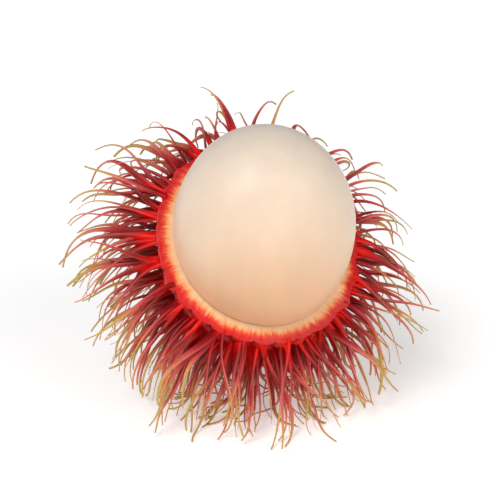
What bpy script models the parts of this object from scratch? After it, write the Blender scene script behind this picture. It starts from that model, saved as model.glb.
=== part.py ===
"""Opened rambutan: half of the husk, with its spinterns grown on it, holds the whole aril.

Metres, +Z up, resting on z = 0. The fruit's own frame has its origin at the aril's centre and its +Z
along the fruit's axis, out of the open side. The husk is one grown piece, so it is one mesh: each spintern
is drawn out of a face of the rind. The aril lies loose in it.
"""

import math
import random

import bmesh
import bpy
import numpy as np
from mathutils import Matrix, Vector

# The aril, an ellipsoid of revolution
ARIL_RADIUS = 0.0138
ARIL_HALF_LENGTH = 0.0180
ARIL_SEGMENTS = 36
ARIL_RINGS = 22

# The rind around it
ARIL_CLEARANCE = 0.0004
RIND_WALL = 0.0023
RIND_WALL_AT_POLE = 0.0026
LINING_SEGMENTS = 32
LINING_RINGS = 20

# How the opened fruit lies, on bent spinterns: its axis leans forwards, and the cut faces forwards and right
AXIS = Vector((0.00, -0.56, 0.83)).normalized()
CUT_FACING = Vector((0.28, -0.73, 0.62)).normalized()
CUT_BELOW_CENTRE = 0.0045
CENTRE_HEIGHT = 0.0305

# Spinterns
SITES_ON_WHOLE_FRUIT = 480
BARE_BELOW_CUT = 0.0013
SPINTERN_LENGTH = 0.0172
LENGTH_SPREAD = 0.12
MOUND_SHARE = 0.30
MOUND_TOP_RADIUS = 0.00075
MOUND_HEIGHT = 0.0009
SHAFT_RADIUS = 0.00048
TIP_RADIUS = 0.00020
NARROWING = 1.6
SECTION_SIDES = 3
SHAFT_SEGMENTS = 6
STEPS_PER_SEGMENT = 6
DROOP = 75.0
FULL_DROOP_AT = 0.6
CURL = 34.0
LEAST_CURL_SHARE = 0.3
CURL_TURNS_AT = 0.25
CURL_RISE = 0.3
LEAST_SIDEWAYS = 0.2
NEARLY_UPRIGHT = 0.9
FLOOR_FEEL = 0.0022
FLOOR_TURN = 0.05
LYING_SHARE = 0.4
GAP_BETWEEN = 0.0011
TRIES = 40
SEED = 19

# Finishes: linear colour and roughness
RIND_FINISH = ((0.60, 0.02, 0.02), 0.45)
FLESH_FINISH = ((0.80, 0.62, 0.44), 0.30)

GOLDEN_ANGLE = math.pi * (3 - math.sqrt(5))


def rind_radii():
    """Half width and half length of the rind's outer surface."""
    across = ARIL_RADIUS + ARIL_CLEARANCE + RIND_WALL
    along = ARIL_HALF_LENGTH + ARIL_CLEARANCE + RIND_WALL_AT_POLE
    return across, along


def fruit_matrix():
    """The fruit's frame in the world, before the object is centred on the origin."""
    side = (Vector((1, 0, 0)) - AXIS * AXIS.x).normalized()
    front = AXIS.cross(side)
    turned = Matrix((side, front, AXIS)).transposed().to_4x4()
    return Matrix.Translation((0, 0, CENTRE_HEIGHT)) @ turned


def cut_plane():
    """A point on the cut and its normal, in the fruit's frame."""
    normal = fruit_matrix().to_3x3().transposed() @ CUT_FACING
    return -CUT_BELOW_CENTRE * normal, normal


def lattice_directions():
    """Evenly spread unit vectors in the spiral order in which a fruit sets its spinterns."""
    found = []
    for i in range(SITES_ON_WHOLE_FRUIT):
        height = (2 * i + 1) / SITES_ON_WHOLE_FRUIT - 1
        around = i * GOLDEN_ANGLE
        level = math.sqrt(1 - height * height)
        found.append(Vector((level * math.cos(around), level * math.sin(around), height)))
    return found


def surface_normal(point):
    """Outward normal of the rind's ellipsoid at a point, in the fruit's frame."""
    across, along = rind_radii()
    return Vector((point.x / across**2, point.y / across**2, point.z / along**2)).normalized()


def spintern_path(root, normal, to_world, chance):
    """Steps of one spintern's centreline: it leaves the rind square, droops, curls and bends along the floor."""
    length = SPINTERN_LENGTH * (1 + LENGTH_SPREAD * chance.uniform(-1, 1))
    spin = chance.uniform(0, 2 * math.pi)
    curl = CURL * chance.uniform(LEAST_CURL_SHARE, 1.0)
    point = to_world @ root
    way = (to_world.to_3x3() @ normal).normalized()
    out = Vector((way.x, way.y, 0))
    if out.length < LEAST_SIDEWAYS:
        out = Vector((math.cos(spin), math.sin(spin), 0))
    out.normalize()
    across = way.cross(Vector((math.cos(spin), math.sin(spin), CURL_RISE))).normalized()
    steps = SHAFT_SEGMENTS * STEPS_PER_SEGMENT
    step = length / steps
    lying = LYING_SHARE * TIP_RADIUS
    path = [point.copy()]
    for k in range(steps):
        share = (k + 0.5) / steps
        way += step * DROOP * min(share / FULL_DROOP_AT, 1) * Vector((0, 0, -1))
        way += step * curl * (share - CURL_TURNS_AT) * across
        way.normalize()
        steepest = -math.sqrt(max(point.z - lying, 0) / FLOOR_FEEL)
        if way.z < steepest:
            level = Vector((way.x, way.y, 0)) + out * FLOOR_TURN
            way = level.normalized() * math.sqrt(max(1 - steepest**2, 0))
            way.z = steepest
        point = point + step * way
        point.z = max(point.z, lying)
        path.append(point.copy())
    return path


def clear_path(root, normal, to_world, chance, grown):
    """The first of some random spinterns that keeps its distance from the grown ones, or the best of them."""
    best = None
    best_gap = -1
    for _ in range(TRIES):
        path = spintern_path(root, normal, to_world, chance)
        steps = np.array(path)
        gap = math.inf
        if grown:
            gap = np.linalg.norm(steps[:, None] - np.concatenate(grown)[None], axis=2).min()
        if gap > best_gap:
            best = path
            best_gap = gap
        if best_gap > GAP_BETWEEN:
            break
    grown.append(np.array(best))
    return best[::STEPS_PER_SEGMENT]


def shaft_radius(share):
    """A spintern's radius at a share of its length: it narrows quickly, then slowly."""
    return TIP_RADIUS + (SHAFT_RADIUS - TIP_RADIUS) * (1 - share) ** NARROWING


def triangle_rings(path):
    """Three-sided sections along a path, each with a corner on top, so that one that lies down is flat below."""
    ways = [(path[min(k + 1, len(path) - 1)] - path[max(k - 1, 0)]).normalized() for k in range(len(path))]
    up = Vector((0, 0, 1)) if abs(ways[-1].z) < NEARLY_UPRIGHT else Vector((1, 0, 0))
    rings = []
    for k in reversed(range(len(path))):
        up = (up - ways[k] * up.dot(ways[k])).normalized()
        side = up.cross(ways[k])
        radius = shaft_radius(k / (len(path) - 1))
        ring = []
        for corner in range(SECTION_SIDES):
            angle = math.radians(90 + 360 / SECTION_SIDES * corner)
            offset = side * math.cos(angle) + up * math.sin(angle)
            place = path[k] + radius * offset
            place.z = max(place.z, 0)
            ring.append(place)
        rings.append(ring)
    rings.reverse()
    return rings


def middle_of(vertices):
    """The mean place of some vertices."""
    return sum((v.co for v in vertices), Vector()) / len(vertices)


def in_order(vertices, axis):
    """Vertices sorted anticlockwise around an axis through their middle."""
    middle = middle_of(vertices)
    side = axis.orthogonal().normalized()
    front = axis.cross(side)
    return sorted(vertices, key=lambda v: math.atan2((v.co - middle).dot(front), (v.co - middle).dot(side)))


def travelled(loop):
    """The share of a closed loop's length passed at each of its vertices, back to the first."""
    steps = [(loop[k].co - loop[k - 1].co).length for k in range(1, len(loop))]
    steps.append((loop[0].co - loop[-1].co).length)
    return [sum(steps[:k]) / sum(steps) for k in range(len(steps) + 1)]


def join_loops(bm, low, high):
    """Triangles between two loops of vertices that run the same way round, in step with their lengths."""
    towards = low[0].co - middle_of(low)
    start = max(range(len(high)), key=lambda s: (high[s].co - middle_of(high)).normalized().dot(towards))
    high = high[start:] + high[:start]
    low_share = travelled(low)
    high_share = travelled(high)
    i = j = 0
    while i < len(low) or j < len(high):
        a = low[i % len(low)]
        b = high[j % len(high)]
        if j == len(high) or (i < len(low) and low_share[i + 1] <= high_share[j + 1]):
            i += 1
            bm.faces.new((a, low[i % len(low)], b))
        else:
            j += 1
            bm.faces.new((a, high[j % len(high)], b))


def grow_spintern(bm, base, to_world, chance, grown):
    """Draws a spintern out of a face of the rind: a mound with as many sides as the face, then a thin shaft."""
    root = base.calc_center_median()
    normal = surface_normal(root)
    to_fruit = to_world.inverted()
    foot = in_order(base.verts, normal)
    bmesh.ops.delete(bm, geom=[base], context="FACES_ONLY")
    top = []
    for v in foot:
        flat = (v.co - root) - normal * (v.co - root).dot(normal)
        top.append(bm.verts.new(root + normal * MOUND_HEIGHT + flat.normalized() * MOUND_TOP_RADIUS))
    join_loops(bm, foot, top)
    path = clear_path(root + normal * MOUND_HEIGHT, normal, to_world, chance, grown)
    rings = triangle_rings(path)
    below = top
    for ring in rings[1:-1]:
        above = [bm.verts.new(to_fruit @ place) for place in ring]
        join_loops(bm, below, above)
        below = above
    tip = path[-1].copy()
    tip.z = max(tip.z - TIP_RADIUS, 0)
    end = bm.verts.new(to_fruit @ tip)
    for k in range(SECTION_SIDES):
        bm.faces.new((below[k], below[(k + 1) % SECTION_SIDES], end))


def boundary(bm, among):
    """Those of some vertices that lie on an open edge."""
    return list({v for e in bm.edges if len(e.link_faces) == 1 for v in e.verts if v in among})


def half_ellipsoid(bm, across, along, make):
    """Adds a whole ellipsoid with make(), cuts it at the cut plane, and returns its vertices."""
    before = set(bm.verts)
    make()
    added = [v for v in bm.verts if v not in before]
    for v in added:
        v.co = Vector((v.co.x * across, v.co.y * across, v.co.z * along))
    point, normal = cut_plane()
    edges = {e for v in added for e in v.link_edges}
    faces = {f for v in added for f in v.link_faces}
    bmesh.ops.bisect_plane(
        bm, geom=[*added, *edges, *faces], plane_co=point, plane_no=normal, clear_outer=True
    )
    return {v for v in bm.verts if v not in before}


def build_husk(to_world):
    """The rind cup, its cut edge and all its spinterns, as one closed mesh in the fruit's frame."""
    across, along = rind_radii()
    bm = bmesh.new()

    def lattice():
        sites = [bm.verts.new(d) for d in lattice_directions()]
        made = bmesh.ops.convex_hull(bm, input=sites)
        loose = {g for g in made["geom_interior"] + made["geom_unused"] if isinstance(g, bmesh.types.BMVert)}
        bmesh.ops.delete(bm, geom=list(loose), context="VERTS")

    outer = half_ellipsoid(bm, across, along, lattice)
    point, normal = cut_plane()
    sites = [v for v in outer if (v.co - point).dot(normal) < -BARE_BELOW_CUT]
    sites.sort(key=lambda v: (round(v.co.z, 6), round(v.co.x, 6)))
    places = [v.co.copy() for v in sites]
    spacing = sum(e.calc_length() for v in sites for e in v.link_edges)
    spacing /= sum(len(v.link_edges) for v in sites)
    bmesh.ops.bevel(
        bm, geom=sites, offset=MOUND_SHARE * spacing, offset_type="OFFSET", affect="VERTICES", segments=1
    )
    bases = []
    for place in places:
        bases.append(min(bm.faces, key=lambda f: (f.calc_center_median() - place).length_squared))
    rim = in_order(boundary(bm, set(bm.verts)), normal)

    def lining():
        bmesh.ops.create_uvsphere(bm, u_segments=LINING_SEGMENTS, v_segments=LINING_RINGS, radius=1)

    inner = half_ellipsoid(
        bm, ARIL_RADIUS + ARIL_CLEARANCE, ARIL_HALF_LENGTH + ARIL_CLEARANCE, lining
    )
    join_loops(bm, rim, in_order(boundary(bm, inner), normal))
    chance = random.Random(SEED)
    grown = []
    for base in bases:
        grow_spintern(bm, base, to_world, chance, grown)
    bmesh.ops.recalc_face_normals(bm, faces=bm.faces)
    if bm.calc_volume(signed=True) < 0:
        bmesh.ops.reverse_faces(bm, faces=bm.faces)
    mesh = bpy.data.meshes.new("husk")
    bm.to_mesh(mesh)
    bm.free()
    return mesh


def build_aril():
    """The flesh, whole, in the fruit's frame."""
    bm = bmesh.new()
    bmesh.ops.create_uvsphere(bm, u_segments=ARIL_SEGMENTS, v_segments=ARIL_RINGS, radius=1)
    bmesh.ops.scale(bm, vec=(ARIL_RADIUS, ARIL_RADIUS, ARIL_HALF_LENGTH), verts=bm.verts)
    mesh = bpy.data.meshes.new("aril")
    bm.to_mesh(mesh)
    bm.free()
    mesh.shade_smooth()
    return mesh


def finish(name, colour, roughness):
    """A plain Principled material."""
    material = bpy.data.materials.new(name)
    material.use_nodes = True
    shader = material.node_tree.nodes["Principled BSDF"]
    shader.inputs["Base Color"].default_value = (*colour, 1)
    shader.inputs["Roughness"].default_value = roughness
    shader.inputs["Metallic"].default_value = 0
    return material


def centring(objects):
    """The sideways shift that puts the middle of the objects' common box over the origin."""
    points = [o.matrix_world @ v.co for o in objects for v in o.data.vertices]
    middle_x = (min(p.x for p in points) + max(p.x for p in points)) / 2
    middle_y = (min(p.y for p in points) + max(p.y for p in points)) / 2
    return Vector((-middle_x, -middle_y, 0))


def main():
    for old in list(bpy.data.objects):
        bpy.data.objects.remove(old)
    to_world = fruit_matrix()
    fruit = bpy.data.objects.new("fruit_frame", None)
    bpy.context.scene.collection.objects.link(fruit)
    fruit.matrix_world = to_world
    pieces = [
        ("husk", build_husk(to_world), finish("red_rind", *RIND_FINISH)),
        ("aril", build_aril(), finish("pale_flesh", *FLESH_FINISH)),
    ]
    made = []
    for name, mesh, material in pieces:
        piece = bpy.data.objects.new(name, mesh)
        bpy.context.scene.collection.objects.link(piece)
        piece.parent = fruit
        mesh.materials.append(material)
        made.append(piece)
    bpy.context.view_layer.update()
    fruit.location += centring(made)
    bpy.context.view_layer.update()


main()
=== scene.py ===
"""Looks of the opened rambutan: the cut half of the rind, its spinterns and the whole flesh that lies in it.

Metres, +Z up, in the CAD model's frame. Sizes named here are the part's own driving dimensions.
"""

import math
import random

import bmesh
import bpy
import numpy as np
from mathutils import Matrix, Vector
from mathutils.kdtree import KDTree


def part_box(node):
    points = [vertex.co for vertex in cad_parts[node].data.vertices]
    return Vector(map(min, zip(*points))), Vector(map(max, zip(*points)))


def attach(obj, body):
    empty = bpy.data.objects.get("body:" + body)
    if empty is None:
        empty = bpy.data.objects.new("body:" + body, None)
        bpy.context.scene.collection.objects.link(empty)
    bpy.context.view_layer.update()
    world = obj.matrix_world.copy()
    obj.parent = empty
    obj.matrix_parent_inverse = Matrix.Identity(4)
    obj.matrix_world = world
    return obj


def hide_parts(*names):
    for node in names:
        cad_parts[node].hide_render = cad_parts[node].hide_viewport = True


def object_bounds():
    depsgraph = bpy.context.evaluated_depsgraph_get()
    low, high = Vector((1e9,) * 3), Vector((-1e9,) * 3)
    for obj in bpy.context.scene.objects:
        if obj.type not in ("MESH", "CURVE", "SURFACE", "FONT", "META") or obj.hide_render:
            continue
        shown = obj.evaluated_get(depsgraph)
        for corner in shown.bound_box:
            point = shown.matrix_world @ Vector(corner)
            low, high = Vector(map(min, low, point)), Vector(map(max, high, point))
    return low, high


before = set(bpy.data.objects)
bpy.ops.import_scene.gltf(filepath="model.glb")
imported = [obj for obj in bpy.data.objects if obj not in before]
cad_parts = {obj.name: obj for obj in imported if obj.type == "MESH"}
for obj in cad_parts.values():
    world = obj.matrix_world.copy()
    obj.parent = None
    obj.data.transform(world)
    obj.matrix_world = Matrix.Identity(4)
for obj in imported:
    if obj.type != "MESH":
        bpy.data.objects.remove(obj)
cad_low, cad_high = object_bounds()

MM = 0.001
UP = Vector((0, 0, 1))
GOLDEN_ANGLE = math.pi * (3 - math.sqrt(5))

# The fruit: how it lies, and the sizes of its flesh and its rind
ARIL_RADIUS = 0.0138
ARIL_HALF_LENGTH = 0.0180
ARIL_CLEARANCE = 0.0004
LINING_GAP = 0.00005
LIP_PRESS = 0.00012
RIND_WALL = 0.0023
RIND_WALL_AT_POLE = 0.0026
AXIS = Vector((0.00, -0.56, 0.83)).normalized()
CUT_FACING = Vector((0.28, -0.73, 0.62)).normalized()
CUT_BELOW_CENTRE = 0.0045

RIND_RADIUS = ARIL_RADIUS + ARIL_CLEARANCE + RIND_WALL
RIND_HALF_LENGTH = ARIL_HALF_LENGTH + ARIL_CLEARANCE + RIND_WALL_AT_POLE

# The rind's mesh, the relief of its skin, and its torn edge
AROUND = 360
OUTER_ROWS = 84
EDGE_ROWS = 12
INNER_ROWS = 24
MOUND_REACH = 1.7 * MM
MOUND_HEIGHT = 0.80 * MM
LEAST_MOUND = 0.35
FURROW_WIDTH = 0.45 * MM
FURROW_DEPTH = 0.25 * MM
# How strongly shade is painted into the furrows between the spinterns' fields
FURROW_PAINTED_SHADE = 0.8
LIP_RISE = 0.45 * MM
FIBRE_RISE = 0.16 * MM
SMALLEST_RIM_ANGLE = 0.2
HALVINGS = 40
# Height, number of waves around the rim, and phase
CUT_WAVES = ((0.20 * MM, 2, 0.6), (0.14 * MM, 5, 2.1), (0.10 * MM, 11, 0.0))

# The flesh's mesh, and its unevenness: height, waves around, waves along and phase
FLESH_AROUND = 144
FLESH_RINGS = 96
FLESH_WAVES = ((0.08 * MM, 3, 2.2, 0.0), (0.05 * MM, 5, -3.1, 1.0))
FREE_ABOVE_CUT = 0.5 * MM
FREE_FADE = 5 * MM

# Spinterns: the large ones, and three sets of thinner ones that grow between them
SITES_ON_WHOLE_FRUIT = 480
BARE_BELOW_CUT = 0.0002
SPINTERN_LENGTH = 0.0176
THIN_ONES_LENGTH = 0.0164
FINE_ONES_LENGTH = 0.0150
LENGTH_RANGE = (0.84, 1.10)
SHORTER_RANGE = (0.78, 1.0)
GIRTH_RANGE = (0.85, 1.15)
PATH_SEGMENTS = 18
STEPS_PER_SEGMENT = 4
ROOT_DEPTH = 0.5 * MM
NARROWING = 1.5
SEED = 19

# How a spintern leans and bends: bend, hook and droop are in radians a metre, gentlest to strongest
LEAN = 0.20
BEND_RANGE = (40, 130)
PHASE_RANGE = (0.0, 0.5)
BEND_WAVES = 0.8
HOOK_RANGE = (120, 620)
HOOK_FROM = 0.62
HOOK_GROWTH = 1.5
HOOK_DOWN = Vector((0, 0, -0.8))
DROOP_RANGE = (60, 125)
DROOP_GROWTH = 1.6

# How its slope eases near the floor and how it lies there, and how far it may stand out of the box
FLOOR_FEEL = 0.0022
FLOOR_TURN = 0.05
LYING_HEIGHT = 0.22 * MM
LEAST_SIDEWAYS = 0.2
PROUD = 0.4 * MM
TRIES = 20


def linear(colour):
    """An sRGB hex colour as linear RGBA."""
    parts = [int(colour[k : k + 2], 16) / 255 for k in (0, 2, 4)]
    return (*[c / 12.92 if c <= 0.04045 else ((c + 0.055) / 1.055) ** 2.4 for c in parts], 1)


def add(tree, kind, sockets=(), **settings):
    """Adds a node with its settings; each socket gets a value, or a link from another node's output."""
    made = tree.nodes.new(kind)
    for name, value in settings.items():
        setattr(made, name, value)
    for key, value in dict(sockets).items():
        if isinstance(value, bpy.types.NodeSocket):
            tree.links.new(value, made.inputs[key])
        else:
            made.inputs[key].default_value = value
    return made


def blank_material(name):
    """A material with an empty node tree."""
    material = bpy.data.materials.new(name)
    material.use_nodes = True
    material.node_tree.nodes.clear()
    return material, material.node_tree


def set_stops(ramp, stops):
    """Sets a colour ramp's stops from pairs of place and hex colour."""
    elements = ramp.color_ramp.elements
    while len(elements) < len(stops):
        elements.new(1)
    for element, (place, colour) in zip(elements, stops):
        element.position = place
        element.color = linear(colour)


# The fruit's own shape

aril_low, aril_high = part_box("aril")
CENTRE = (Vector(aril_low) + Vector(aril_high)) / 2
FACING = np.array(CUT_FACING)
SIDE = np.array((UP.cross(CUT_FACING)).normalized())
FRONT = np.cross(FACING, SIDE)


def shape_matrix(across, along):
    """The quadratic form of an ellipsoid of revolution about the fruit's axis."""
    axis = np.array(AXIS)
    return np.eye(3) / across**2 + np.outer(axis, axis) * (1 / along**2 - 1 / across**2)


def on_surface(directions, form):
    """Where rays from the fruit's centre meet an ellipsoid."""
    return directions / np.sqrt(np.einsum("...i,ij,...j->...", directions, form, directions))[..., None]


OUTER_FORM = shape_matrix(RIND_RADIUS, RIND_HALF_LENGTH)
INNER_FORM = shape_matrix(ARIL_RADIUS + LINING_GAP, ARIL_HALF_LENGTH + LINING_GAP)
LIP_FORM = shape_matrix(ARIL_RADIUS - LIP_PRESS, ARIL_HALF_LENGTH - LIP_PRESS)


def spread_sites(count, offset):
    """Evenly spread places on the rind below the cut, in the spiral order in which a fruit sets spinterns."""
    index = np.arange(count) + offset
    height = 2 * (index + 0.5) / count - 1
    level = np.sqrt(np.clip(1 - height**2, 0, 1))
    around = index * GOLDEN_ANGLE
    local = np.stack([level * np.cos(around), level * np.sin(around), height], axis=1)
    axis = np.array(AXIS)
    side = np.array([1.0, 0, 0]) - axis * axis[0]
    side /= np.linalg.norm(side)
    turn = np.stack([side, np.cross(axis, side), axis])
    places = (local * [RIND_RADIUS, RIND_RADIUS, RIND_HALF_LENGTH]) @ turn
    return [Vector(p) for p in places if p @ FACING < -CUT_BELOW_CENTRE - BARE_BELOW_CUT]


def rind_normal(place):
    """Outward normal of the rind's outer surface at a place measured from the fruit's centre."""
    return Vector(OUTER_FORM @ np.array(place)).normalized()


# The rind


def ragged(angle, start):
    """A torn line's ups and downs around the rim, about -1 to 1: nine waves, each finer and lower."""
    total = np.zeros_like(angle)
    for k in range(9):
        turns = 19 + 11 * k + (k * k) % 7
        total += np.sin(turns * angle + start * (k + 1)) / (1 + 0.25 * k)
    return total / 3


def cut_depth(angle):
    """How far below the centre the cut runs: a knife and a thumb leave it a little wavy."""
    waves = sum(height * np.sin(count * angle + phase) for height, count, phase in CUT_WAVES)
    return CUT_BELOW_CENTRE + waves


def rim_angle(angle, form):
    """The angle off the closed end, seen from the centre, at which the cut crosses a surface."""
    low = np.full_like(angle, SMALLEST_RIM_ANGLE)
    high = np.full_like(angle, math.pi / 2)
    for _ in range(HALVINGS):
        middle = (low + high) / 2
        above = (on_surface(off_pole(middle, angle), form) @ FACING) > -cut_depth(angle)
        high = np.where(above, middle, high)
        low = np.where(above, low, middle)
    return (low + high) / 2


def off_pole(tilt, angle):
    """Unit directions at a tilt off the closed end and an angle around it."""
    sideways = np.cos(angle)[..., None] * SIDE + np.sin(angle)[..., None] * FRONT
    return -np.cos(tilt)[..., None] * FACING + np.sin(tilt)[..., None] * sideways


def mound_heights(points, sites):
    """The rind's relief: a mound of its own size under each spintern, and furrows between their fields."""
    tree = KDTree(len(sites))
    for k, site in enumerate(sites):
        tree.insert(site, k)
    tree.balance()
    chance = random.Random(SEED + 2)
    sizes = [chance.uniform(LEAST_MOUND, 1.0) for _ in sites]
    heights = []
    for point in points:
        (_, k, near), (_, _, second) = tree.find_n(Vector(point), 2)
        close = max(0.0, 1 - near / MOUND_REACH)
        mound = sizes[k] * close**2 * (3 - 2 * close)
        furrow = math.exp(-(((second - near) / FURROW_WIDTH) ** 2))
        heights.append((mound, furrow))
    return np.array(heights)


def lathe_mesh(name, rows, first_pole, last_pole):
    """A closed mesh from rings of points, with a pole at each end."""
    count = rows.shape[1]
    points = [*rows.reshape(-1, 3), first_pole, last_pole]
    faces = []
    for r in range(len(rows) - 1):
        for k in range(count):
            n = (k + 1) % count
            faces.append((r * count + k, r * count + n, (r + 1) * count + n, (r + 1) * count + k))
    first = len(points) - 2
    start = (len(rows) - 1) * count
    for k in range(count):
        n = (k + 1) % count
        faces.append((k, first, n))
        faces.append((start + k, start + n, first + 1))
    mesh = bpy.data.meshes.new(name)
    mesh.from_pydata([tuple(p) for p in points], [], faces)
    bm = bmesh.new()
    bm.from_mesh(mesh)
    if bm.calc_volume(signed=True) < 0:
        bmesh.ops.reverse_faces(bm, faces=bm.faces)
    bm.to_mesh(mesh)
    bm.free()
    mesh.shade_smooth()
    return mesh


def number_attribute(mesh, name, values):
    """Stores one number for each vertex."""
    attribute = mesh.attributes.new(name, "FLOAT", "POINT")
    attribute.data.foreach_set("value", np.asarray(values, dtype=np.float32))


def show(name, mesh, material):
    """Puts a mesh in the scene as an object at the origin."""
    piece = bpy.data.objects.new(name, mesh)
    bpy.context.scene.collection.objects.link(piece)
    mesh.materials.clear()
    mesh.materials.append(material)
    return piece


def make_rind(sites, material):
    """The half rind: its bumpy skin, the cut edge and the smooth lining."""
    angle = np.linspace(0, 2 * math.pi, AROUND, endpoint=False)
    outer_rim = rim_angle(angle, OUTER_FORM)
    inner_rim = rim_angle(angle, INNER_FORM)
    rows = []
    depth = []
    for r in range(1, OUTER_ROWS + 1):
        rows.append(on_surface(off_pole(outer_rim * r / OUTER_ROWS, angle), OUTER_FORM))
        depth.append(np.full(AROUND, 1.0))
    skin = np.array(rows).reshape(-1, 3)
    relief = mound_heights(skin, sites)
    lift = MOUND_HEIGHT * relief[:, 0] - FURROW_DEPTH * relief[:, 1]
    normals = skin @ OUTER_FORM
    normals /= np.linalg.norm(normals, axis=1)[:, None]
    rows = list((skin + normals * lift[:, None]).reshape(OUTER_ROWS, AROUND, 3))
    outer_edge = rows[-1]
    inner_edge = on_surface(off_pole(inner_rim, angle), LIP_FORM)
    for r in range(1, EDGE_ROWS):
        share = r / EDGE_ROWS
        lip = LIP_RISE * math.sin(math.pi * share**0.8) * share
        fibre = FIBRE_RISE * ragged(angle, 1.3 + 0.9 * share) * math.sin(math.pi * share)
        rows.append(outer_edge * (1 - share) + inner_edge * share + (lip + fibre)[:, None] * FACING)
        depth.append(np.full(AROUND, 1 - share))
    rows.append(inner_edge)
    depth.append(np.zeros(AROUND))
    for r in range(INNER_ROWS - 1, 0, -1):
        rows.append(on_surface(off_pole(inner_rim * r / INNER_ROWS, angle), INNER_FORM))
        depth.append(np.zeros(AROUND))
    rows = np.array(rows)
    centre = np.array(CENTRE)
    poles = [on_surface(-FACING[None], form)[0] + centre for form in (OUTER_FORM, INNER_FORM)]
    mesh = lathe_mesh("husk_rind", rows + centre, *poles)
    # Painted shade: the mound heights less the furrows, which the material uses to darken the low places
    relief_shade = np.zeros(len(rows) * AROUND + 2)
    relief_shade[: len(relief)] = relief[:, 0] - FURROW_PAINTED_SHADE * relief[:, 1]
    number_attribute(mesh, "depth", [*np.array(depth).ravel(), 1, 0])
    number_attribute(mesh, "mound", relief_shade)
    number_attribute(mesh, "around", [*np.tile(angle, len(rows)), 0, 0])
    return show("husk_rind", mesh, material)


# The spinterns

ROOM_LOW = Vector(cad_low) - Vector((PROUD, PROUD, PROUD))
ROOM_HIGH = Vector(cad_high) + Vector((PROUD, PROUD, PROUD))


def spintern_line(site, length, chance):
    """Centreline of one spintern: it leaves the rind, bows under its weight, wavers, and hooks at the tip."""
    normal = rind_normal(site)
    lean = Vector((chance.gauss(0, 1), chance.gauss(0, 1), chance.gauss(0, 1)))
    way = (normal + LEAN * lean.cross(normal)).normalized()
    lateral = way.cross(Vector((chance.gauss(0, 1), chance.gauss(0, 1), chance.gauss(0, 1)))).normalized()
    hook_side = way.cross(Vector((chance.gauss(0, 1), chance.gauss(0, 1), chance.gauss(0, 1)))).normalized()
    hook_side = (hook_side + HOOK_DOWN).normalized()
    bend = chance.uniform(*BEND_RANGE)
    phase = chance.uniform(*PHASE_RANGE)
    hook = chance.uniform(*HOOK_RANGE)
    droop = chance.uniform(*DROOP_RANGE)
    out = Vector((normal.x, normal.y, 0))
    if out.length < LEAST_SIDEWAYS:
        out = Vector((lateral.x, lateral.y, 0))
    out.normalize()
    steps = PATH_SEGMENTS * STEPS_PER_SEGMENT
    step = length / steps
    point = CENTRE + site - ROOT_DEPTH * normal
    line = [point.copy()]
    for k in range(steps):
        share = (k + 0.5) / steps
        way += step * droop * min(share * DROOP_GROWTH, 1.0) * Vector((0, 0, -1))
        way += step * bend * math.cos(2 * math.pi * (share * BEND_WAVES + phase)) * lateral
        way += step * hook * max(0.0, (share - HOOK_FROM) / (1 - HOOK_FROM)) ** HOOK_GROWTH * hook_side
        way.normalize()
        steepest = -math.sqrt(max(point.z - LYING_HEIGHT, 0) / FLOOR_FEEL)
        if way.z < steepest:
            level = Vector((way.x, way.y, 0)) + out * FLOOR_TURN
            way = level.normalized() * math.sqrt(max(1 - steepest**2, 0))
            way.z = steepest
        point = point + step * way
        point.z = max(point.z, LYING_HEIGHT)
        if (k + 1) % STEPS_PER_SEGMENT == 0:
            line.append(point.copy())
    return line


def spintern_guides(groups, seed):
    """All the centrelines as one mesh of edges, with what the sweep needs on its points.

    A spintern that would stand out of the box is grown again, a little shorter.
    """
    chance = random.Random(seed)
    points = []
    edges = []
    along = []
    girths = []
    tones = []
    for sites, length, thickness in groups:
        for site in sites:
            girth = thickness * chance.uniform(*GIRTH_RANGE)
            line = spintern_line(site, length * chance.uniform(*LENGTH_RANGE), chance)
            for _ in range(TRIES):
                if all(ROOM_LOW[a] < p[a] < ROOM_HIGH[a] for p in line for a in range(3)):
                    break
                line = spintern_line(site, length * chance.uniform(*SHORTER_RANGE), chance)
            tone = chance.random()
            start = len(points)
            points.extend(line)
            edges.extend((start + k, start + k + 1) for k in range(len(line) - 1))
            along.extend(k / (len(line) - 1) for k in range(len(line)))
            girths.extend([girth] * len(line))
            tones.extend([tone] * len(line))
    mesh = bpy.data.meshes.new("spintern_guides")
    mesh.from_pydata([tuple(p) for p in points], edges, [])
    number_attribute(mesh, "along", along)
    number_attribute(mesh, "girth", girths)
    number_attribute(mesh, "tone", tones)
    return mesh


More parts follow.
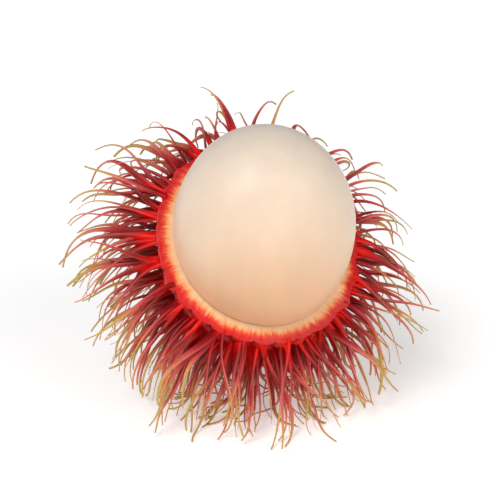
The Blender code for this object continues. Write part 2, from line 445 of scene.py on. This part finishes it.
def spintern_tree():
    """Sweeps a flat section along every centreline: broad at the rind, narrow and twisted towards the tip."""
    tree = bpy.data.node_groups.new("grow_spinterns", "GeometryNodeTree")
    names = {}
    for name, kind, value in (
        ("Centrelines", "NodeSocketGeometry", None),
        ("Root half width", "NodeSocketFloat", 0.86 * MM),
        ("Tip half width", "NodeSocketFloat", 0.17 * MM),
        ("Flatness", "NodeSocketFloat", 0.62),
        ("Twist", "NodeSocketFloat", 3.0),
        ("Sides", "NodeSocketInt", 6),
        ("Seed", "NodeSocketInt", SEED),
        ("Skin", "NodeSocketMaterial", None),
    ):
        socket = tree.interface.new_socket(name=name, in_out="INPUT", socket_type=kind)
        names[name] = (socket.identifier, value)
    tree.interface.new_socket(name="Spinterns", in_out="OUTPUT", socket_type="NodeSocketGeometry")
    given = add(tree, "NodeGroupInput").outputs
    along, girth, tone = (
        add(tree, "GeometryNodeInputNamedAttribute", {"Name": name}, data_type="FLOAT").outputs["Attribute"]
        for name in ("along", "girth", "tone")
    )
    left = add(tree, "ShaderNodeMath", {0: 1.0, 1: along}, operation="SUBTRACT").outputs[0]
    narrowing = add(tree, "ShaderNodeMath", {0: left, 1: NARROWING}, operation="POWER").outputs[0]
    width = add(
        tree,
        "ShaderNodeMapRange",
        {"Value": narrowing, "To Min": given["Tip half width"], "To Max": given["Root half width"]},
    ).outputs["Result"]
    width = add(tree, "ShaderNodeMath", {0: width, 1: girth}, operation="MULTIPLY").outputs[0]
    # A large number of its own for each spintern, so that each turns by its own amount
    strand = add(tree, "ShaderNodeMath", {0: tone, 1: 100000.0}, operation="MULTIPLY").outputs[0]
    spin = add(
        tree,
        "FunctionNodeRandomValue",
        {"Min": -1.0, "Max": 1.0, "ID": strand, "Seed": given["Seed"]},
        data_type="FLOAT",
    )
    spin = [s for s in spin.outputs if s.enabled][0]
    twist = add(tree, "ShaderNodeMath", {0: along, 1: given["Twist"], 2: 1.0}, operation="MULTIPLY_ADD")
    tilt = add(tree, "ShaderNodeMath", {0: twist.outputs[0], 1: spin}, operation="MULTIPLY").outputs[0]
    curve = add(tree, "GeometryNodeMeshToCurve", {"Mesh": given["Centrelines"]}).outputs[0]
    curve = add(tree, "GeometryNodeSetCurveTilt", {"Curve": curve, "Tilt": tilt}).outputs[0]
    section = add(
        tree, "GeometryNodeCurvePrimitiveCircle", {"Resolution": given["Sides"], "Radius": 1.0}
    ).outputs[0]
    corner = add(tree, "GeometryNodeInputPosition").outputs[0]
    corner = add(tree, "ShaderNodeSeparateXYZ", {0: corner}).outputs["X"]
    breadth = add(tree, "ShaderNodeMath", {0: corner}, operation="ABSOLUTE").outputs[0]
    section = add(
        tree,
        "GeometryNodeStoreNamedAttribute",
        {"Geometry": section, "Name": "breadth", "Value": breadth},
        domain="POINT",
    ).outputs[0]
    flat = add(tree, "ShaderNodeCombineXYZ", {"X": 1.0, "Y": given["Flatness"], "Z": 1.0}).outputs[0]
    section = add(tree, "GeometryNodeTransform", {"Geometry": section, "Scale": flat}).outputs[0]
    swept = add(
        tree,
        "GeometryNodeCurveToMesh",
        {"Curve": curve, "Profile Curve": section, "Scale": width, "Fill Caps": True},
    ).outputs[0]
    smooth = add(tree, "GeometryNodeSetShadeSmooth", {"Geometry": swept}).outputs[0]
    real = add(tree, "GeometryNodeRealizeInstances", {"Geometry": smooth}).outputs[0]
    skinned = add(tree, "GeometryNodeSetMaterial", {"Geometry": real, "Material": given["Skin"]}).outputs[0]
    add(tree, "NodeGroupOutput", {0: skinned})
    return tree, names


def make_spinterns(name, groups, seed, material):
    """Grows the spinterns on their centrelines and keeps them as one plain mesh."""
    guides = bpy.data.objects.new("spintern_guides", spintern_guides(groups, seed))
    bpy.context.scene.collection.objects.link(guides)
    tree, names = spintern_tree()
    sweep = guides.modifiers.new("grow_spinterns", "NODES")
    sweep.node_group = tree
    for identifier, value in names.values():
        if value is not None:
            sweep[identifier] = value
    sweep[names["Skin"][0]] = material
    bpy.context.view_layer.update()
    evaluated = guides.evaluated_get(bpy.context.evaluated_depsgraph_get())
    mesh = bpy.data.meshes.new_from_object(evaluated)
    mesh.name = name
    bpy.data.objects.remove(guides)
    bm = bmesh.new()
    bm.from_mesh(mesh)
    if bm.calc_volume(signed=True) < 0:
        bmesh.ops.reverse_faces(bm, faces=bm.faces)
    bm.to_mesh(mesh)
    bm.free()
    for vertex in mesh.vertices:
        vertex.co.z = max(vertex.co.z, 0)
    return show(name, mesh, material)


# The flesh


def make_aril(material):
    """The whole flesh: a plump egg, its taut surface slightly uneven where the rind no longer holds it."""
    angle = np.linspace(0, 2 * math.pi, FLESH_AROUND, endpoint=False)
    axis = np.array(AXIS)
    side = np.cross(axis, [0.0, 0.0, 1.0])
    side /= np.linalg.norm(side)
    front = np.cross(axis, side)
    centre = np.array(CENTRE)
    rows = []
    for r in range(1, FLESH_RINGS):
        tilt = math.pi * r / FLESH_RINGS
        wave = sum(h * np.sin(count * angle + rise * tilt + phase) for h, count, rise, phase in FLESH_WAVES)
        ring = np.cos(angle)[:, None] * side + np.sin(angle)[:, None] * front
        smooth = ring * ARIL_RADIUS * math.sin(tilt) - axis * ARIL_HALF_LENGTH * math.cos(tilt)
        above_cut = np.clip((smooth @ FACING + CUT_BELOW_CENTRE - FREE_ABOVE_CUT) / FREE_FADE, 0, 1)
        rows.append(centre + smooth + ring * (wave * math.sin(tilt) ** 2 * above_cut)[:, None])
    poles = (centre - axis * ARIL_HALF_LENGTH, centre + axis * ARIL_HALF_LENGTH)
    mesh = lathe_mesh("aril_flesh", np.array(rows), *poles)
    return show("aril_flesh", mesh, material)


# Materials


def rind_material():
    """Rambutan rind, a tough grown skin: satin red with painted shade in its furrows and low places, pale and
    fibrous where it is torn.
    """
    material, tree = blank_material("rambutan_rind")
    place = add(tree, "ShaderNodeTexCoord").outputs["Object"]
    depth = add(tree, "ShaderNodeAttribute", attribute_name="depth").outputs["Fac"]
    mound = add(tree, "ShaderNodeAttribute", attribute_name="mound").outputs["Fac"]
    around = add(tree, "ShaderNodeAttribute", attribute_name="around").outputs["Fac"]
    # Blotches about 6 mm across
    blotches = add(tree, "ShaderNodeTexNoise", {"Vector": place, "Scale": 160.0, "Detail": 3.0})
    skin = add(tree, "ShaderNodeValToRGB", {"Fac": blotches.outputs["Fac"]})
    set_stops(skin, ((0.32, "c40a0c"), (0.50, "e01610"), (0.68, "f03a1a")))
    # Painted shade: the furrows and the low places between the mounds are painted a darker red
    relief = add(tree, "ShaderNodeMapRange", {"Value": mound, "From Min": -0.8, "From Max": 0.5})
    furrow = add(
        tree,
        "ShaderNodeMix",
        {"Factor": relief.outputs["Result"], 6: linear("84040a"), 7: skin.outputs["Color"]},
        data_type="RGBA",
    )
    # Fibres across the cut: torn strands about 0.5 mm apart around the rim, with finer ones between them
    across_wall = add(tree, "ShaderNodeMath", {0: depth, 1: 0.04}, operation="MULTIPLY").outputs[0]
    streak_place = add(tree, "ShaderNodeCombineXYZ", {"X": around, "Y": across_wall}).outputs[0]
    streaks = add(
        tree, "ShaderNodeTexNoise", {"Vector": streak_place, "Scale": 34.0, "Detail": 5.0, "Roughness": 0.62}
    ).outputs["Fac"]
    torn = add(tree, "ShaderNodeMath", {0: streaks, 1: 0.7, 2: depth}, operation="MULTIPLY_ADD")
    torn = add(tree, "ShaderNodeMath", {0: torn.outputs[0], 1: 0.35}, operation="SUBTRACT").outputs[0]
    cut = add(tree, "ShaderNodeValToRGB", {"Fac": torn})
    set_stops(cut, ((0.0, "ffe0be"), (0.28, "ffcf9f"), (0.45, "fda668"), (0.60, "f04e2c"), (0.78, "d81410")))
    on_skin = add(tree, "ShaderNodeMath", {0: depth, 1: 0.995}, operation="GREATER_THAN").outputs[0]
    colour = add(
        tree,
        "ShaderNodeMix",
        {"Factor": on_skin, 6: cut.outputs["Color"], 7: furrow.outputs[2]},
        data_type="RGBA",
    )
    # Grain about 0.7 mm across, as coarse as it needs to be to show
    grain = add(tree, "ShaderNodeTexNoise", {"Vector": place, "Scale": 1400.0, "Detail": 5.0}).outputs["Fac"]
    bump = add(tree, "ShaderNodeBump", {"Height": grain, "Strength": 0.35, "Distance": 0.15 * MM}).outputs[0]
    surface = add(
        tree,
        "ShaderNodeBsdfPrincipled",
        {
            "Base Color": colour.outputs[2],
            "Roughness": 0.42,
            "IOR": 1.42,
            "Subsurface Weight": 0.25,
            "Subsurface Scale": 0.8 * MM,
            "Subsurface Radius": (1.0, 0.25, 0.15),
            "Normal": bump,
        },
    ).outputs[0]
    add(tree, "ShaderNodeOutputMaterial", {"Surface": surface})
    return material


def spintern_material():
    """Rambutan spinterns, soft grown spines: red roots, a dark crimson band that is partly painted shade among
    them, then pink, and yellow-green when dry.
    """
    material, tree = blank_material("rambutan_spintern")
    place = add(tree, "ShaderNodeTexCoord").outputs["Object"]
    along = add(tree, "ShaderNodeAttribute", attribute_name="along").outputs["Fac"]
    tone = add(tree, "ShaderNodeAttribute", attribute_name="tone").outputs["Fac"]
    patches = add(tree, "ShaderNodeTexNoise", {"Vector": place, "Scale": 420.0, "Detail": 3.0}).outputs["Fac"]
    # One spintern dries further down than the next, and the change is patchy
    shift = add(tree, "ShaderNodeMapRange", {"Value": tone, "To Min": -0.18, "To Max": 0.22})
    uneven = add(tree, "ShaderNodeMapRange", {"Value": patches, "To Min": -0.12, "To Max": 0.12})
    dryness = add(tree, "ShaderNodeMath", {0: along, 1: shift.outputs["Result"]}, operation="ADD").outputs[0]
    dryness = add(tree, "ShaderNodeMath", {0: dryness, 1: uneven.outputs["Result"]}, operation="ADD").outputs[0]
    # Partly painted shade: the dark crimson stops a fifth to a third along darken the spinterns where they crowd
    # and shade each other, over their own deep red
    ramp = add(tree, "ShaderNodeValToRGB", {"Fac": dryness})
    set_stops(
        ramp,
        (
            (0.0, "ee180c"),
            (0.10, "d00c0a"),
            (0.22, "8c0408"),
            (0.34, "980612"),
            (0.48, "ba2a32"),
            (0.64, "cc6650"),
            (0.79, "c4a044"),
            (1.0, "a2b440"),
        ),
    )
    grain = add(tree, "ShaderNodeTexNoise", {"Vector": place, "Scale": 1500.0, "Detail": 3.0}).outputs["Fac"]
    bump = add(tree, "ShaderNodeBump", {"Height": grain, "Strength": 0.5, "Distance": 0.10 * MM}).outputs[0]
    # Painted light: the thin edges of each spintern are painted paler than its middle, for the light that comes
    # through them and the highlights along them
    breadth = add(tree, "ShaderNodeAttribute", attribute_name="breadth").outputs["Fac"]
    edge = add(tree, "ShaderNodeMath", {0: breadth, 1: 2.0}, operation="POWER").outputs[0]
    edge = add(tree, "ShaderNodeMath", {0: edge, 1: along}, operation="MULTIPLY").outputs[0]
    edge = add(tree, "ShaderNodeMapRange", {"Value": edge, "From Min": 0.05, "From Max": 0.5, "To Max": 0.6})
    painted_edge_light = add(
        tree,
        "ShaderNodeMix",
        {"Factor": edge.outputs["Result"], 6: ramp.outputs["Color"], 7: linear("ec9488")},
        data_type="RGBA",
    )
    surface = add(
        tree,
        "ShaderNodeBsdfPrincipled",
        {
            "Base Color": painted_edge_light.outputs[2],
            "Roughness": 0.38,
            "IOR": 1.42,
            "Subsurface Weight": 0.2,
            "Subsurface Scale": 0.5 * MM,
            "Subsurface Radius": (1.0, 0.35, 0.25),
            "Specular IOR Level": 0.22,
            "Normal": bump,
        },
    ).outputs[0]
    add(tree, "ShaderNodeOutputMaterial", {"Surface": surface})
    return material


def flesh_material():
    """Rambutan flesh, a juicy translucent aril: milky white, with painted light and shade, paler on top and
    deeper and warmer towards the bottom where the red rind's light bounces onto it.
    """
    material, tree = blank_material("rambutan_flesh")
    place = add(tree, "ShaderNodeTexCoord").outputs["Object"]
    from_centre = add(tree, "ShaderNodeVectorMath", {0: place, 1: tuple(CENTRE)}, operation="SUBTRACT")
    # Painted light and shade: lighter at the top, darker and peach towards the bottom for the red light the rind
    # bounces onto it
    upwards = (0.0, 0.30, 0.95)
    facing = add(
        tree, "ShaderNodeVectorMath", {0: from_centre.outputs[0], 1: upwards}, operation="DOT_PRODUCT"
    )
    height = add(
        tree,
        "ShaderNodeMapRange",
        {"Value": facing.outputs["Value"], "From Min": -15 * MM, "From Max": 15 * MM},
    ).outputs["Result"]
    painted_bounce_light = add(tree, "ShaderNodeValToRGB", {"Fac": height})
    set_stops(
        painted_bounce_light, ((0.0, "dcac84"), (0.20, "e4ba94"), (0.46, "ead0b6"), (0.72, "ecdac8"), (1.0, "e8dbcd"))
    )
    # Faint fibres that run from pole to pole under the surface, about 3 mm apart
    along_fibres = add(
        tree,
        "ShaderNodeMapping",
        {
            "Vector": place,
            "Location": tuple(CENTRE),
            "Rotation": tuple(AXIS.to_track_quat("Z", "Y").to_euler()),
            "Scale": (1.0, 1.0, 5.0),
        },
        vector_type="TEXTURE",
    ).outputs[0]
    cloud = add(tree, "ShaderNodeTexNoise", {"Vector": along_fibres, "Scale": 300.0, "Detail": 2.0})
    cloud = cloud.outputs["Fac"]
    haze = add(tree, "ShaderNodeMapRange", {"Value": cloud, "To Min": 0.90, "To Max": 1.04}).outputs["Result"]
    colour = add(
        tree, "ShaderNodeVectorMath", {0: painted_bounce_light.outputs["Color"], "Scale": haze}, operation="SCALE"
    ).outputs[0]
    skin = add(tree, "ShaderNodeTexNoise", {"Vector": place, "Scale": 520.0, "Detail": 4.0}).outputs["Fac"]
    bump = add(tree, "ShaderNodeBump", {"Height": skin, "Strength": 0.12, "Distance": 0.12 * MM}).outputs[0]
    surface = add(
        tree,
        "ShaderNodeBsdfPrincipled",
        {
            "Base Color": colour,
            "Roughness": 0.42,
            "IOR": 1.37,
            "Subsurface Weight": 0.85,
            "Subsurface Scale": 3.0 * MM,
            "Subsurface Radius": (1.0, 0.62, 0.40),
            "Normal": bump,
        },
    ).outputs[0]
    add(tree, "ShaderNodeOutputMaterial", {"Surface": surface})
    return material


# The fruit: sites, then pieces

large_sites = spread_sites(SITES_ON_WHOLE_FRUIT, 0.0)
thin_sites = spread_sites(SITES_ON_WHOLE_FRUIT, 0.5)
fine_sites = spread_sites(SITES_ON_WHOLE_FRUIT, 0.25)
finest_sites = spread_sites(SITES_ON_WHOLE_FRUIT, 0.75)
rind = make_rind(large_sites, rind_material())
spintern_skin = spintern_material()
spinterns = make_spinterns(
    "husk_spinterns",
    ((large_sites, SPINTERN_LENGTH, 1.0), (thin_sites, THIN_ONES_LENGTH, 0.76)),
    SEED,
    spintern_skin,
)
fine_spinterns = make_spinterns(
    "husk_fine_spinterns",
    ((fine_sites, FINE_ONES_LENGTH, 0.60), (finest_sites, FINE_ONES_LENGTH, 0.50)),
    SEED + 1,
    spintern_skin,
)
flesh = make_aril(flesh_material())

for piece in (rind, spinterns, fine_spinterns):
    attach(piece, "root")
    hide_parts("husk")
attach(flesh, "root")
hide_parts("aril")


# Floor, light and camera

FLOOR_REACH = 3.0
LENS = 85
CAMERA_DISTANCE = 0.190
CAMERA_ELEVATION = 20


def make_floor():
    """A plain pale floor that fades into the pale surroundings."""
    mesh = bpy.data.meshes.new("floor")
    corners = [(x * FLOOR_REACH, y * FLOOR_REACH, 0) for x, y in ((-1, -1), (1, -1), (1, 1), (-1, 1))]
    mesh.from_pydata(corners, [], [(0, 1, 2, 3)])
    material, tree = blank_material("white_board")
    mottle = add(tree, "ShaderNodeTexNoise", {"Scale": 3.0}).outputs["Fac"]
    shade = add(tree, "ShaderNodeValToRGB", {"Fac": mottle})
    set_stops(shade, ((0.0, "f6f6f6"), (1.0, "fafafa")))
    # Lit from below more strongly away from the fruit, as a light table is, so it runs into the surroundings
    place = add(tree, "ShaderNodeTexCoord").outputs["Object"]
    away = add(tree, "ShaderNodeVectorMath", {0: place}, operation="LENGTH").outputs["Value"]
    glow = add(
        tree,
        "ShaderNodeMapRange",
        {"Value": away, "From Min": 0.05, "From Max": 0.30, "To Min": 0.38, "To Max": 0.76},
    ).outputs["Result"]
    surface = add(
        tree,
        "ShaderNodeBsdfPrincipled",
        {
            "Base Color": shade.outputs["Color"],
            "Roughness": 0.8,
            "Emission Color": linear("ffffff"),
            "Emission Strength": glow,
        },
    ).outputs[0]
    add(tree, "ShaderNodeOutputMaterial", {"Surface": surface})
    show("floor", mesh, material)


def soft_light(name, place, target, size, power, colour):
    """A square soft light that looks at a point."""
    lamp = bpy.data.lights.new(name, "AREA")
    lamp.size = size
    lamp.energy = power
    lamp.color = linear(colour)[:3]
    holder = bpy.data.objects.new(name, lamp)
    holder.location = place
    holder.rotation_euler = (Vector(target) - Vector(place)).to_track_quat("-Z", "Y").to_euler()
    bpy.context.scene.collection.objects.link(holder)


def make_surroundings():
    """Even white light from all round, weaker than the white that the camera sees behind the floor."""
    world = bpy.data.worlds.new("studio")
    world.use_nodes = True
    back = world.node_tree.nodes["Background"]
    back.inputs["Color"].default_value = linear("ffffff")
    seen = add(world.node_tree, "ShaderNodeLightPath").outputs["Is Camera Ray"]
    strength = add(world.node_tree, "ShaderNodeMapRange", {"Value": seen, "To Min": 0.20, "To Max": 1.0})
    world.node_tree.links.new(strength.outputs["Result"], back.inputs["Strength"])
    bpy.context.scene.world = world


def make_camera(target, distance, elevation):
    """A long lens that looks slightly down on the fruit from the front."""
    lens = bpy.data.cameras.new("camera")
    lens.lens = LENS
    lens.clip_start = 0.01
    lens.clip_end = 10
    camera = bpy.data.objects.new("camera", lens)
    tilt = math.radians(elevation)
    camera.location = Vector(target) + distance * Vector((0, -math.cos(tilt), math.sin(tilt)))
    camera.rotation_euler = (Vector(target) - camera.location).to_track_quat("-Z", "Y").to_euler()
    bpy.context.scene.collection.objects.link(camera)
    bpy.context.scene.camera = camera


middle = (Vector(cad_low) + Vector(cad_high)) / 2
make_floor()
make_surroundings()
soft_light("key", (-0.25, -0.35, 0.55), middle, 0.30, 2.8, "ffffff")
soft_light("fill", (0.45, -0.40, 0.30), middle, 0.40, 1.4, "fffaf4")
make_camera(middle, CAMERA_DISTANCE, CAMERA_ELEVATION)
bpy.context.scene.view_settings.view_transform = "Standard"
